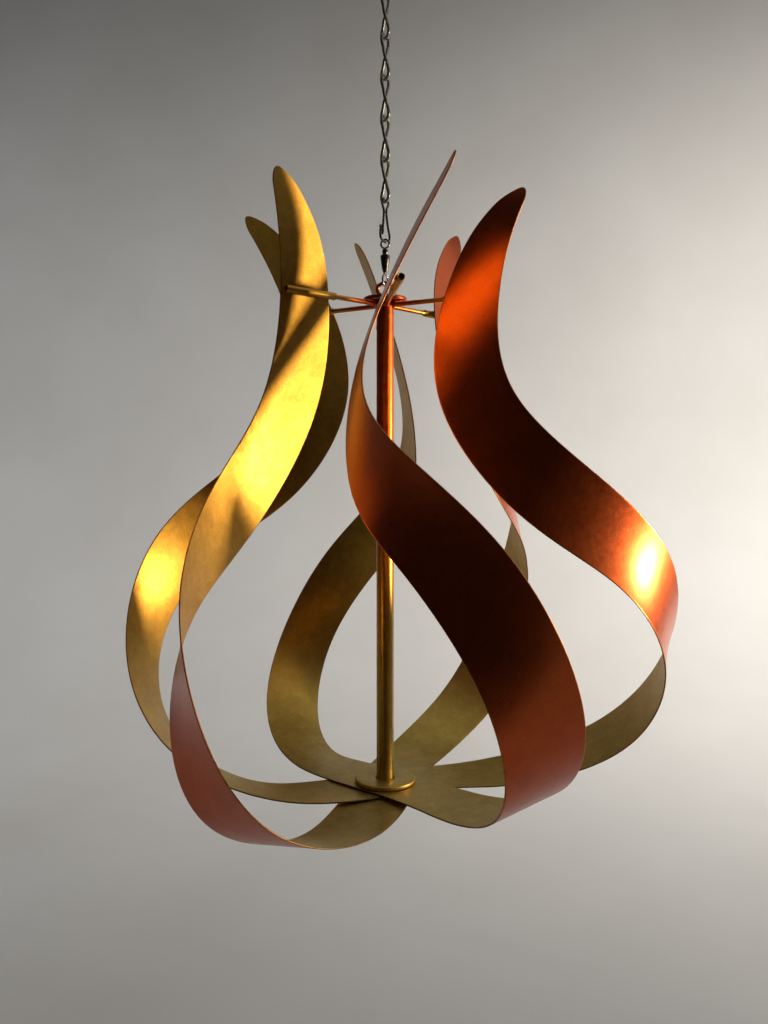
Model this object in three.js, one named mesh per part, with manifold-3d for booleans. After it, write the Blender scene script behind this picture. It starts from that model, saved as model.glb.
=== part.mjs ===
import * as THREE from 'three';
import { mergeVertices } from 'three/addons/utils/BufferGeometryUtils.js';
import Module from 'manifold-3d';

// Hanging wind spinner: hook, jack chain, snap clip and ball-bearing swivel carrying a rotor of
// three crossed strips that rise as six twisted ribbons round a central tube.
// Millimetres, +Z up. The origin is the hang point, the inside top of the hook's upper bend.

const wasm = await Module();
wasm.setup();

// ---- Driving dimensions -------------------------------------------------------------------
const GAP = 0.3; // clearance between pieces that touch
const SEAT = 0.15; // closer clearance under the two eyes
const WELD = 1e-5; // corners nearer than this are one corner

const HOOK = { wire: 2.6, upperRadius: 7.5, lowerRadius: 5.5, centres: 19, plane: -45 };
// crossing: share of the half height over which the link's strands swap planes
const LINK = { wire: 2.3, halfHeight: 16, halfWidth: 4.5, plane: 45, crossing: 0.9, count: 5 };
const SNAP = { wire: 1.7, height: 31.45, plane: 45 };
// The snap's wire from the short leg's end round to the long leg's hook: across, down, through.
const SNAP_SHAPE = [
  [-2.6, 25.6, 0], [-2.3, 21, 0], [-1.7, 15, 0], [-1.35, 8.2, 0], [-2.6, 5.4, 0], [-3.2, 3, 0],
  [-2.1, 0.7, 0], [0, 0, 0], [2.1, 0.7, 0], [3.2, 3, 0], [2.6, 5.4, 0], [1.35, 8.2, 0],
  [1.9, 15, 0], [3.3, 21.5, 0], [4.6, 26.5, 0], [4.1, 29.6, 0], [2.2, 31.1, 0], [0, SNAP.height, 0],
  [-2.4, 31, 0], [-4.5, 28.9, 0], [-5, 25.5, 0], [-4.7, 22, 0], [-3.8, 20, 1.3], [-2.2, 19.4, 2.2],
  [-0.9, 20.3, 2.2],
];
const RING = { wire: 1.5, radius: 3.2, plane: -20 }; // swivel's upper eye
const STEM = { radius: 1.1, headRadius: 2.1, headHeight: 1.1, headDepth: 1.2 };
const BARREL = {
  height: 12.5, collarRadius: 2.1, collarHeight: 4.2, shoulderRadius: 3.5, footRadius: 1.75,
  topWall: 0.9, footWall: 1.8, chamberRadius: 2.6, chamberDepth: 3, chamberFoot: 3.4, bevel: 0.4,
};
const LOOP = { // swivel's lower eye; drop: barrel to the top of the loop's wire
  wire: 1.5, halfWidth: 3.6, halfHeight: 4.4, plane: 60, drop: 1.3,
  stem: 0.75, headRadius: 1.3, headHeight: 1, headLift: 2.1,
};
const EYE = { wire: 2.8, halfWidth: 5.7, halfHeight: 4.85, shank: 4, depth: 14 };

const HUB_DISC = { diameter: 32.2, thickness: 3, hole: 4.8 };
const BASE_DISC = { diameter: 44.7, thickness: 3, hole: 13.5 };
const DISC_BEVEL = 0.5;
const DISC_SPACING = 353.6; // top of the hub disc to top of the base disc
const TUBE = { diameter: 12.7, wall: 1.2 };
const PLUG_LENGTH = 15;
const SPOKE = { diameter: 3.4, insertion: 14 };
const SLEEVE = { diameter: 5, bore: 4, lead: 5 }; // lead: how far it stands proud of the inner edge
const BOLT = { diameter: 5, hole: 5.6, head: 9.2, headHeight: 3.2, length: 17 };
const WASHER = { diameter: 20, thickness: 1.5 };

// Ribbon: sheet thickness, spacing of the crossed strips, and the guide points of its two edges.
// Each edge is a uniform cubic B-spline over [outward, anticlockwise, up from the base].
const SHEET = 1.2;
const LAYER_STEP = 1.6;
const INNER_EDGE = [
  [0, -22.5, 0], [31, -28, 0], [89, -44, -5], [143, -95, 24], [147, -121, 92], [97, -125, 161],
  [39, -97, 195], [-1, -43, 285], [33, -35, 373], [57, -45, 410], [76, -57, 428],
];
const OUTER_EDGE = [
  [0, 22.5, 0], [37, 21, 0], [102, 1, 1], [162, -44, 30], [182, -84, 92], [155, -117, 179],
  [72, -116, 238], [37, -81, 287], [50, -67, 354], [69, -67, 403], [84, -69, 429],
];
const FLAT_END = 0.05; // share of the ribbon's length that stays flat under the base disc
const FLAT_BLEND = 0.15;
const TIP_START = 0.955; // where the rounded tip begins
const FIRST_BLADE = -93.35; // direction in which the first blade leaves the hub, degrees

// The six blades are bent by hand, so each differs a little: its turn where it leaves the hub
// and at the neck (degrees), how much wider its belly is (share) and how much higher (mm), and
// its last bend above the neck: a twist (degrees), then a lean outward and anticlockwise (mm).
const BLADES = [
  { hubTurn: -2.5, neckTurn: 1.4, swell: -0.015, lift: -18.5, twist: 10.5, lean: [-5, -3] },
  { hubTurn: 0, neckTurn: -2.8, swell: 0.054, lift: 15, twist: 17.5, lean: [7.5, 16.5] },
  { hubTurn: 3.5, neckTurn: 2.2, swell: 0.108, lift: -3, twist: 7, lean: [-12, -9.5] },
  { hubTurn: -2.5, neckTurn: 4.9, swell: -0.017, lift: 8, twist: 19.5, lean: [-7.5, 2] },
  { hubTurn: 0, neckTurn: -3.8, swell: -0.014, lift: -13.5, twist: 14.5, lean: [3.5, -5] },
  { hubTurn: 3.5, neckTurn: -4.1, swell: -0.02, lift: 12.5, twist: 1, lean: [6, -4.5] },
];
// Shares of a blade's length over which its turn changes, its belly swells and its tip bends.
const TURN_SPAN = { from: 0.25, length: 0.45 };
const BELLY_SPAN = { from: 0.06, length: 0.84 };
const BEND_SPAN = { from: 0.7, length: 0.3 };
const STRIPS = [
  { name: 'strip_upper', layer: 1, blades: [1, 4] },
  { name: 'strip_middle', layer: 0, blades: [2, 5] },
  { name: 'strip_lower', layer: -1, blades: [0, 3] },
];

// ---- Heights, worked out from the hang point down ----------------------------------------
const hookUpperCentre = HOOK.wire / 2 - HOOK.upperRadius;
const hookLowerCentre = hookUpperCentre - HOOK.centres;
const hookBottomWire = hookLowerCentre - HOOK.lowerRadius;
const linkPitch = 2 * LINK.halfHeight - LINK.wire - GAP;
const firstLink = hookBottomWire + (HOOK.wire + LINK.wire) / 2 + GAP - LINK.halfHeight;
const linkCentre = (index) => firstLink - index * linkPitch;
const lastLinkWire = linkCentre(LINK.count - 1) - LINK.halfHeight;
const snapTopWire = lastLinkWire + (LINK.wire + SNAP.wire) / 2 + GAP;
const snapBottomWire = snapTopWire - SNAP.height;
const ringCentre = snapBottomWire + (SNAP.wire + RING.wire) / 2 + GAP - RING.radius;
const barrelTop = ringCentre - RING.radius - RING.wire / 2 - SEAT;
const shoulder = barrelTop - BARREL.collarHeight;
const barrelFoot = shoulder - BARREL.height;
const loopCentre = barrelFoot - LOOP.drop - LOOP.halfHeight;
const loopBottomWire = loopCentre - LOOP.halfHeight;
const eyeTopWire = loopBottomWire + (LOOP.wire + EYE.wire) / 2 + GAP;
const eyeCentre = eyeTopWire - EYE.halfHeight;
const discTop = eyeCentre - EYE.halfHeight - EYE.wire / 2 - SEAT;
const discBottom = discTop - HUB_DISC.thickness;
const spokeHeight = discBottom - GAP - SPOKE.diameter / 2;
const tubeTop = discBottom - GAP;
const baseDiscTop = discTop - DISC_SPACING;
const baseDiscBottom = baseDiscTop - BASE_DISC.thickness;
const stripCentre = baseDiscBottom - GAP - SHEET / 2 - LAYER_STEP; // middle strip's mid-plane
const stackBottom = stripCentre - LAYER_STEP - SHEET / 2;
const washerTop = stackBottom - GAP;
const boltHeadTop = washerTop - WASHER.thickness - GAP;

// ---- Materials ---------------------------------------------------------------------------
const paint = (color, roughness, metalness) => () =>
  new THREE.MeshStandardMaterial({ color, roughness, metalness });
const copperPaint = paint(0x9c3f17, 0.35, 0.85);
const goldPaint = paint(0xb08a3a, 0.4, 0.8);
const zincSteel = paint(0x4d4b47, 0.4, 0.9);
const blackNickel = paint(0x3a3733, 0.25, 0.95);

// ---- Helpers -----------------------------------------------------------------------------
const radians = THREE.MathUtils.degToRad;
const clamp01 = (x) => Math.min(1, Math.max(0, x));
const ease = (x) => clamp01(x) ** 2 * (3 - 2 * clamp01(x));

const spinner = new THREE.Group();

function addPart(name, geometry, material) {
  const mesh = new THREE.Mesh(geometry, material());
  mesh.name = name;
  spinner.add(mesh);
  return mesh;
}

// A point given in an upright plane: across along the plane's direction, through it, and up.
function inPlane(plane, across, through, up) {
  const c = Math.cos(radians(plane));
  const s = Math.sin(radians(plane));
  return new THREE.Vector3(c * across - s * through, s * across + c * through, up);
}

function solidOf(geometry) {
  const bare = geometry.clone();
  bare.deleteAttribute('normal');
  bare.deleteAttribute('uv');
  const merged = mergeVertices(bare, WELD);
  return new wasm.Manifold(new wasm.Mesh({
    numProp: 3,
    vertProperties: new Float32Array(merged.attributes.position.array),
    triVerts: new Uint32Array(merged.index.array),
  }));
}

function geometryOf(solid) {
  const mesh = solid.getMesh();
  const geometry = new THREE.BufferGeometry();
  geometry.setAttribute('position', new THREE.BufferAttribute(mesh.vertProperties, 3));
  geometry.setIndex(new THREE.BufferAttribute(mesh.triVerts, 1));
  return geometry;
}

const joined = (...pieces) => geometryOf(pieces.map(solidOf).reduce((whole, next) => whole.add(next)));
const cut = (piece, tool) => geometryOf(solidOf(piece).subtract(solidOf(tool)));

function rounded(profile, sides) {
  const points = profile.map(([radius, height]) => new THREE.Vector2(radius, height));
  return new THREE.LatheGeometry(points, sides).rotateX(Math.PI / 2);
}

const cylinder = (radius, bottom, top, sides) =>
  rounded([[0, bottom], [radius, bottom], [radius, top], [0, top]], sides);

const annulus = (inner, outer, bottom, top, sides) =>
  rounded([[inner, bottom], [outer, bottom], [outer, top], [inner, top], [inner, bottom]], sides);

// Round wire along an open path.
function wire(points, diameter, steps, sides) {
  const section = new THREE.Shape();
  for (let i = 0; i < sides; i += 1) {
    const angle = (2 * Math.PI * i) / sides;
    const corner = [Math.cos(angle) * diameter / 2, Math.sin(angle) * diameter / 2];
    if (i === 0) section.moveTo(...corner);
    else section.lineTo(...corner);
  }
  section.closePath();
  const extrudePath = new THREE.CatmullRomCurve3(points, false, 'centripetal');
  return new THREE.ExtrudeGeometry(section, { steps, extrudePath, bevelEnabled: false });
}

// Round wire whose path closes on itself.
function closedWire(pathPoint, diameter, steps, sides) {
  const points = Array.from({ length: steps }, (_, i) => pathPoint((2 * Math.PI * i) / steps));
  const curve = new THREE.CatmullRomCurve3(points, true, 'centripetal');
  const frames = curve.computeFrenetFrames(steps, true);
  const positions = [];
  const index = [];
  for (let i = 0; i < steps; i += 1) {
    const centre = curve.getPointAt(i / steps);
    for (let j = 0; j < sides; j += 1) {
      const angle = (2 * Math.PI * j) / sides;
      const rim = centre.clone()
        .addScaledVector(frames.normals[i], Math.cos(angle) * diameter / 2)
        .addScaledVector(frames.binormals[i], Math.sin(angle) * diameter / 2);
      positions.push(rim.x, rim.y, rim.z);
      const next = ((i + 1) % steps) * sides;
      const side = (j + 1) % sides;
      index.push(i * sides + j, next + side, next + j);
      index.push(i * sides + j, i * sides + side, next + side);
    }
  }
  const geometry = new THREE.BufferGeometry();
  geometry.setAttribute('position', new THREE.Float32BufferAttribute(positions, 3));
  geometry.setIndex(index);
  return geometry;
}

// ---- Hook, chain, clip and swivel ----------------------------------------------------------
function hook() {
  const at = (across, up) => inPlane(HOOK.plane, across, 0, up);
  const arc = (centre, radius, degrees) =>
    at(radius * Math.cos(radians(degrees)), centre + radius * Math.sin(radians(degrees)));
  const points = [
    ...[150, 180, 225, 270, 315, 350].map((a) => arc(hookLowerCentre, HOOK.lowerRadius, a)),
    at(0, (hookLowerCentre + hookUpperCentre) / 2),
    ...[170, 135, 90, 45, 0, -35].map((a) => arc(hookUpperCentre, HOOK.upperRadius, a)),
  ];
  return wire(points, HOOK.wire, 44, 8);
}

// Figure-of-eight link: its upper loop lies across its lower one, and the two strands pass
// each other in the middle with a gap.
function link(centre) {
  const strandOffset = (LINK.wire + GAP) / 2;
  return closedWire((s) => {
    const height = Math.cos(s);
    const plane = LINK.plane * (2 * ease(height / LINK.crossing + 0.5) - 1);
    const across = LINK.halfWidth * Math.sin(2 * s);
    return inPlane(plane, across, strandOffset * Math.sin(s), centre + LINK.halfHeight * height);
  }, LINK.wire, 36, 6);
}

// Interlock snap: one springy wire whose long leg hooks over the short one.
function snapClip() {
  const points = SNAP_SHAPE.map(([across, down, through]) =>
    inPlane(SNAP.plane, across, through, snapTopWire - down));
  return wire(points, SNAP.wire, 72, 6);
}

function swivelUpperEye() {
  const ring = closedWire((s) => inPlane(RING.plane, RING.radius * Math.sin(s), 0,
    ringCentre + RING.radius * Math.cos(s)), RING.wire, 20, 8);
  const headTop = shoulder - STEM.headDepth;
  const ringFoot = ringCentre - RING.radius;
  const stem = cylinder(STEM.radius, headTop - STEM.headHeight / 2, ringFoot, 16);
  const head = cylinder(STEM.headRadius, headTop - STEM.headHeight, headTop, 20);
  return joined(ring, stem, head);
}

// Hollow turned body: a collar, a square shoulder and a taper, open at both ends for the stems.
function swivelBarrel() {
  const { collarRadius, shoulderRadius, footRadius, chamberRadius, topWall, footWall, bevel } = BARREL;
  const mouth = STEM.radius + GAP;
  const footBore = LOOP.stem + GAP;
  const chamberTop = shoulder - topWall;
  const chamberWaist = shoulder - BARREL.chamberDepth;
  const chamberFloor = barrelFoot + footWall;
  return rounded([
    [mouth, barrelTop], [mouth, chamberTop], [chamberRadius, chamberTop],
    [chamberRadius, chamberWaist], [footRadius, barrelFoot + BARREL.chamberFoot],
    [footRadius, chamberFloor], [footBore, chamberFloor], [footBore, barrelFoot],
    [footRadius - bevel / 2, barrelFoot], [footRadius, barrelFoot + bevel],
    [chamberRadius - bevel / 2, barrelFoot + footWall + 2 * bevel],
    [shoulderRadius - bevel / 4, chamberWaist], [shoulderRadius, shoulder - 1.5 * bevel],
    [shoulderRadius - bevel, shoulder], [collarRadius, shoulder], [collarRadius, barrelTop - bevel],
    [collarRadius - bevel, barrelTop], [mouth, barrelTop],
  ], 20);
}

function swivelLowerEye() {
  const ring = closedWire((s) => inPlane(LOOP.plane, LOOP.halfWidth * Math.sin(s), 0,
    loopCentre + LOOP.halfHeight * Math.cos(s)), LOOP.wire, 20, 8);
  const headBottom = barrelFoot + LOOP.headLift;
  const headMiddle = headBottom + LOOP.headHeight / 2;
  const stem = cylinder(LOOP.stem, loopCentre + LOOP.halfHeight, headMiddle, 16);
  const head = cylinder(LOOP.headRadius, headBottom, headBottom + LOOP.headHeight, 16);
  return joined(ring, stem, head);
}

addPart('s_hook', hook(), zincSteel);
for (let i = 0; i < LINK.count; i += 1) addPart(`chain_link_${i + 1}`, link(linkCentre(i)), zincSteel);
addPart('snap_clip', snapClip(), blackNickel);
addPart('swivel_upper_eye', swivelUpperEye(), blackNickel);
addPart('swivel_barrel', swivelBarrel(), blackNickel);
addPart('swivel_lower_eye', swivelLowerEye(), blackNickel);

// ---- Rotor: eye, hub disc, tube and base -----------------------------------------------------
function rotorEye() {
  const ring = closedWire((s) => inPlane(0, EYE.halfWidth * Math.sin(s), 0,
    eyeCentre + EYE.halfHeight * Math.cos(s)), EYE.wire, 24, 8);
  const shank = cylinder(EYE.shank / 2, discTop - EYE.depth, eyeCentre - EYE.halfHeight, 20);
  return joined(ring, shank);
}

const tubeBore = TUBE.diameter / 2 - TUBE.wall;
const plugRadius = tubeBore - GAP;

function bevelledDisc({ diameter, thickness, hole }, top) {
  const rim = diameter / 2;
  const bottom = top - thickness;
  return rounded([
    [hole / 2, top], [hole / 2, bottom], [rim - DISC_BEVEL, bottom], [rim, bottom + DISC_BEVEL],
    [rim, top - DISC_BEVEL], [rim - DISC_BEVEL, top], [hole / 2, top],
  ], 40);
}

addPart('rotor_eye', rotorEye(), copperPaint);
addPart('hub_disc', bevelledDisc(HUB_DISC, discTop), copperPaint);
const tubePlug = annulus(HUB_DISC.hole / 2, plugRadius, tubeTop - PLUG_LENGTH, tubeTop, 24);
const tubeInsert = annulus(BOLT.hole / 2, plugRadius, baseDiscBottom, baseDiscBottom + PLUG_LENGTH, 24);
const washerFoot = washerTop - WASHER.thickness;
const baseWasher = annulus(BOLT.hole / 2, WASHER.diameter / 2, washerFoot, washerTop, 32);
const baseBolt = joined(
  cylinder(BOLT.head / 2, boltHeadTop - BOLT.headHeight, boltHeadTop, 6),
  cylinder(BOLT.diameter / 2, boltHeadTop - BOLT.headHeight / 2, boltHeadTop + BOLT.length, 20),
);
addPart('tube_plug', tubePlug, copperPaint);
addPart('centre_tube', annulus(tubeBore, TUBE.diameter / 2, baseDiscBottom, tubeTop, 32), copperPaint);
addPart('base_disc', bevelledDisc(BASE_DISC, baseDiscTop), goldPaint);
addPart('tube_insert', tubeInsert, zincSteel);
addPart('base_washer', baseWasher, zincSteel);
addPart('base_bolt', baseBolt, zincSteel);

// ---- Ribbons -------------------------------------------------------------------------------
// Point on a uniform cubic B-spline that starts at the hub's centre, where the strip runs on
// into the opposite blade's other edge, and ends on its last guide point.
function splinePoint(guide, opposite, share) {
  const spans = guide.length - 1;
  const span = Math.min(Math.floor(share * spans), spans - 1);
  const f = share * spans - span;
  const [behindX, behindY, behindZ] = opposite[1];
  const beyond = guide[spans].map((value, axis) => 2 * value - guide[spans - 1][axis]);
  const row = [[-behindX, -behindY, behindZ], ...guide, beyond].slice(span, span + 4);
  const weights = [
    (1 - f) ** 3, 3 * f ** 3 - 6 * f ** 2 + 4, -3 * f ** 3 + 3 * f ** 2 + 3 * f + 1, f ** 3,
  ];
  return [0, 1, 2].map((axis) => row.reduce((sum, point, i) => sum + point[axis] * weights[i] / 6, 0));
}

// Point on one edge of a blade, with the blade's own differences from the common shape.
function edgePoint(edge, bladeIndex, layer, share) {
  const { hubTurn, neckTurn, swell, lift, twist, lean } = BLADES[bladeIndex];
  const spanned = ({ from, length }) => clamp01((share - from) / length);
  const inner = splinePoint(INNER_EDGE, OUTER_EDGE, share);
  const outer = splinePoint(OUTER_EDGE, INNER_EDGE, share);
  const bend = ease(spanned(BEND_SPAN));
  const fromMiddle = (edge === 'inner' ? 0.5 : -0.5);
  const half = [0, 1].map((axis) => fromMiddle * (inner[axis] - outer[axis]));
  const c = Math.cos(radians(twist) * bend);
  const s = Math.sin(radians(twist) * bend);
  const outward = (inner[0] + outer[0]) / 2 + c * half[0] - s * half[1] + lean[0] * bend;
  const sideways = (inner[1] + outer[1]) / 2 + s * half[0] + c * half[1] + lean[1] * bend;
  const up = edge === 'inner' ? inner[2] : outer[2];
  const belly = Math.sin(Math.PI * spanned(BELLY_SPAN)) ** 2;
  const turn = hubTurn + (neckTurn - hubTurn) * ease(spanned(TURN_SPAN));
  const growth = 1 + swell * belly;
  const height = up * ease((share - FLAT_END) / FLAT_BLEND) + lift * belly;
  return inPlane(FIRST_BLADE + 60 * bladeIndex + turn, outward * growth, sideways * growth,
    stripCentre + layer * LAYER_STEP + height);
}

// Stations along one blade: its share of the length and its share of the full width, which
// falls to nothing round the tip.
function bladeStations() {
  const alongBlade = 50;
  const roundTip = 5;
  const lastAngle = 86; // just short of a point
  const stations = [];
  for (let i = 0; i < alongBlade; i += 1) stations.push([(TIP_START * i) / alongBlade, 1]);
  for (let i = 0; i <= roundTip; i += 1) {
    const angle = radians((lastAngle * i) / roundTip);
    stations.push([TIP_START + (1 - TIP_START) * Math.sin(angle), Math.cos(angle)]);
  }
  return stations;
}

// The four corners of the sheet's section at one station: both edges, each on both faces.
function section(bladeIndex, layer, [share, width]) {
  const nudge = 1e-3;
  const at = (edge, where) => edgePoint(edge, bladeIndex, layer, clamp01(where));
  const edges = [at('inner', share), at('outer', share)];
  const across = edges[1].clone().sub(edges[0]);
  const middle = edges[0].clone().add(edges[1]).multiplyScalar(0.5);
  return ['inner', 'outer'].map((edge, side) => {
    const along = at(edge, share + nudge).sub(at(edge, share - nudge));
    const outerFace = across.clone().cross(along).normalize().multiplyScalar(SHEET / 2);
    const point = middle.clone().lerp(edges[side], width);
    return [point.clone().add(outerFace), point.clone().sub(outerFace)];
  });
}

function strip({ layer, blades }) {
  const stations = bladeStations();
  const [near, far] = blades;
  const rings = [
    ...stations.slice(1).reverse().map((station) => section(far, layer, station).reverse()),
    ...stations.map((station) => section(near, layer, station)),
  ];
  const corners = rings.map(([[a, b], [c, d]]) => [a, c, d, b]);
  const positions = corners.flat().flatMap((point) => point.toArray());
  const index = [0, 2, 1, 0, 3, 2];
  for (let i = 0; i < corners.length - 1; i += 1) {
    for (let j = 0; j < 4; j += 1) {
      const [a, b] = [4 * i + j, 4 * i + ((j + 1) % 4)];
      index.push(a, b, b + 4, a, b + 4, a + 4);
    }
  }
  const last = 4 * (corners.length - 1);
  index.push(last, last + 1, last + 2, last, last + 2, last + 3);
  const geometry = new THREE.BufferGeometry();
  geometry.setAttribute('position', new THREE.Float32BufferAttribute(positions, 3));
  geometry.setIndex(index);
  const drill = cylinder(BOLT.hole / 2, washerTop - WASHER.thickness, baseDiscTop, 20);
  return cut(geometry, drill);
}

STRIPS.forEach((entry) => addPart(entry.name, strip(entry), copperPaint));

// ---- Spokes and their sleeves --------------------------------------------------------------
// Each sleeve lies along the ribbon's inner (gold) face at the neck. The spoke's direction is
// the first one, turning anticlockwise, at which the sleeve stands clear of the sheet.
function neckOf(bladeIndex, layer) {
  const search = { from: 0.6, to: 0.86, step: 0.002, across: 0.05 };
  const level = 0.6; // counts as level with the spokes
  const reach = SLEEVE.diameter / 2;
  const stand = reach + SHEET / 2 + GAP;
  const neck = { direction: -Infinity, from: Infinity, to: 0 };
  for (let share = search.from; share < search.to; share += search.step) {
    const edges = ['inner', 'outer'].map((edge) => edgePoint(edge, bladeIndex, layer, share));
    for (let across = 0; across <= 1; across += search.across) {
      const point = edges[0].clone().lerp(edges[1], across);
      const off = Math.abs(point.z - spokeHeight);
      const radius = Math.hypot(point.x, point.y);
      if (off < reach + level) {
        const raw = Math.atan2(point.y, point.x) + Math.asin(stand / radius);
        const base = radians(FIRST_BLADE + 60 * bladeIndex - 60);
        const angle = base + THREE.MathUtils.euclideanModulo(raw - base + Math.PI, 2 * Math.PI) - Math.PI;
        neck.direction = Math.max(neck.direction, angle);
      }
      if (off < level) {
        neck.from = Math.min(neck.from, radius);
        neck.to = Math.max(neck.to, radius);
      }
    }
  }
  return neck;
}

function layRadially(geometry, direction) {
  return geometry.rotateY(Math.PI / 2).rotateZ(direction).translate(0, 0, spokeHeight);
}

STRIPS.forEach(({ layer, blades }) => blades.forEach((bladeIndex) => {
  const { direction, from, to } = neckOf(bladeIndex, layer);
  const start = from - SLEEVE.lead;
  const sleeve = annulus(SLEEVE.bore / 2, SLEEVE.diameter / 2, start, to, 20);
  const spoke = cylinder(SPOKE.diameter / 2, TUBE.diameter / 2 + GAP, start + SPOKE.insertion, 16);
  addPart(`sleeve_${bladeIndex + 1}`, layRadially(sleeve, direction), goldPaint);
  addPart(`spoke_${bladeIndex + 1}`, layRadially(spoke, direction), copperPaint);
}));

export default spinner;
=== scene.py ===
import math
import random

import bpy
from mathutils import Matrix, Vector


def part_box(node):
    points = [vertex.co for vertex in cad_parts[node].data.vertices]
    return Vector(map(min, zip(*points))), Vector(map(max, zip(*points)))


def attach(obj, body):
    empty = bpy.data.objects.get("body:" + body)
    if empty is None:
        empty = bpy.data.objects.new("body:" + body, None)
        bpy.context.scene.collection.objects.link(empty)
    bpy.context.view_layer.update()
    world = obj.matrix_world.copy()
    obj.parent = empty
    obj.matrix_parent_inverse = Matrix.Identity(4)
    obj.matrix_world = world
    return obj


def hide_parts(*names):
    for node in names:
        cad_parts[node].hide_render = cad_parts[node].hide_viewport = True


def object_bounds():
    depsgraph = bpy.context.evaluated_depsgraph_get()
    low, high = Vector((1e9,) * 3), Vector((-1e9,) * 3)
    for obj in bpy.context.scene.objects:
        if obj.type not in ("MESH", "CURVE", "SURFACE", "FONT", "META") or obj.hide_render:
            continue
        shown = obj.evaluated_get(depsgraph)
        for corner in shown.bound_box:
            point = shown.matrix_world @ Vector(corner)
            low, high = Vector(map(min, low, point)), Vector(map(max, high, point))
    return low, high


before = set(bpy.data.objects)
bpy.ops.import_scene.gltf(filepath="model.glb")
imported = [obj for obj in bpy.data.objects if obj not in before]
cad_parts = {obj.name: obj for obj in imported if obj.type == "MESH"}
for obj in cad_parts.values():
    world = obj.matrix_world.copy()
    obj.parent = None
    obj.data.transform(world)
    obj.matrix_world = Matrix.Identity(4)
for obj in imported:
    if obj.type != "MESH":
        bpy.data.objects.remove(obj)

cad_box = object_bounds()
MM = 0.001

# ---- Sizes that the part's own source states, in millimetres ---------------------------------
GAP = 0.3
HOOK = {"wire": 2.6, "upper_radius": 7.5, "lower_radius": 5.5, "centres": 19, "plane": -45}
LINK = {"wire": 2.3, "half_height": 16, "half_width": 4.5, "plane": 45, "crossing": 0.9, "count": 5}
SNAP = {"wire": 1.7, "height": 31.45, "plane": 45}
# The snap's wire from the short leg's end round to the long leg's hook: across, down, through.
SNAP_SHAPE = [
    (-2.6, 25.6, 0), (-2.3, 21, 0), (-1.7, 15, 0), (-1.35, 8.2, 0), (-2.6, 5.4, 0), (-3.2, 3, 0),
    (-2.1, 0.7, 0), (0, 0, 0), (2.1, 0.7, 0), (3.2, 3, 0), (2.6, 5.4, 0), (1.35, 8.2, 0),
    (1.9, 15, 0), (3.3, 21.5, 0), (4.6, 26.5, 0), (4.1, 29.6, 0), (2.2, 31.1, 0), (0, SNAP["height"], 0),
    (-2.4, 31, 0), (-4.5, 28.9, 0), (-5, 25.5, 0), (-4.7, 22, 0), (-3.8, 20, 1.3),
    (-2.2, 19.4, 2.2), (-0.9, 20.3, 2.2)]
RING = {"wire": 1.5, "radius": 3.2, "plane": -20}
STEM = {"radius": 1.1, "head_radius": 2.1, "head_height": 1.1, "head_depth": 1.2}
BARREL = {"collar_radius": 2.1, "collar_height": 4.2, "shoulder_radius": 3.5, "foot_radius": 1.75,
          "top_wall": 0.9, "foot_wall": 1.8, "chamber_radius": 2.6, "chamber_depth": 3,
          "chamber_foot": 3.4, "bevel": 0.4}
LOOP = {"wire": 1.5, "half_width": 3.6, "half_height": 4.4, "plane": 60, "stem": 0.75,
        "head_radius": 1.3, "head_height": 1, "head_lift": 2.1}
EYE = {"wire": 2.8, "half_width": 5.7, "half_height": 4.85, "shank": 4}
HUB_HOLE = 4.8
BASE_HOLE = 13.5
TUBE = {"diameter": 12.7, "wall": 1.2}
WASHER = {"diameter": 20, "hole": 5.6}
BOLT = {"diameter": 5, "head": 9.2, "head_height": 3.2}
SPOKE_DIAMETER = 3.4
SLEEVE = {"diameter": 5, "bore": 4}
SHEET = 1.2
LAYER_STEP = 1.6
# The guide points of a ribbon's two edges and the values in BLADES and FIRST_BLADE were fitted to
# the photograph with a scratch program and rounded, as the part's report says. So was the camera.
INNER_EDGE = [
    (0, -22.5, 0), (31, -28, 0), (89, -44, -5), (143, -95, 24), (147, -121, 92), (97, -125, 161),
    (39, -97, 195), (-1, -43, 285), (33, -35, 373), (57, -45, 410), (76, -57, 428)]
OUTER_EDGE = [
    (0, 22.5, 0), (37, 21, 0), (102, 1, 1), (162, -44, 30), (182, -84, 92), (155, -117, 179),
    (72, -116, 238), (37, -81, 287), (50, -67, 354), (69, -67, 403), (84, -69, 429)]
FLAT_END = 0.05
FLAT_BLEND = 0.15
TIP_START = 0.955
FIRST_BLADE = -93.35
TURN_SPAN, BELLY_SPAN, BEND_SPAN = (0.25, 0.45), (0.06, 0.84), (0.7, 0.3)
BLADES = [
    {"hub_turn": -2.5, "neck_turn": 1.4, "swell": -0.015, "lift": -18.5, "twist": 10.5, "lean": (-5, -3)},
    {"hub_turn": 0, "neck_turn": -2.8, "swell": 0.054, "lift": 15, "twist": 17.5, "lean": (7.5, 16.5)},
    {"hub_turn": 3.5, "neck_turn": 2.2, "swell": 0.108, "lift": -3, "twist": 7, "lean": (-12, -9.5)},
    {"hub_turn": -2.5, "neck_turn": 4.9, "swell": -0.017, "lift": 8, "twist": 19.5, "lean": (-7.5, 2)},
    {"hub_turn": 0, "neck_turn": -3.8, "swell": -0.014, "lift": -13.5, "twist": 14.5, "lean": (3.5, -5)},
    {"hub_turn": 3.5, "neck_turn": -4.1, "swell": -0.02, "lift": 12.5, "twist": 1, "lean": (6, -4.5)}]
STRIPS = [("strip_upper", 1, (1, 4)), ("strip_middle", 0, (2, 5)), ("strip_lower", -1, (0, 3))]


def low(node):
    """Lowest corner of a CAD node, in millimetres."""
    return Vector(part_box(node)[0]) / MM


def high(node):
    return Vector(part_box(node)[1]) / MM


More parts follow.
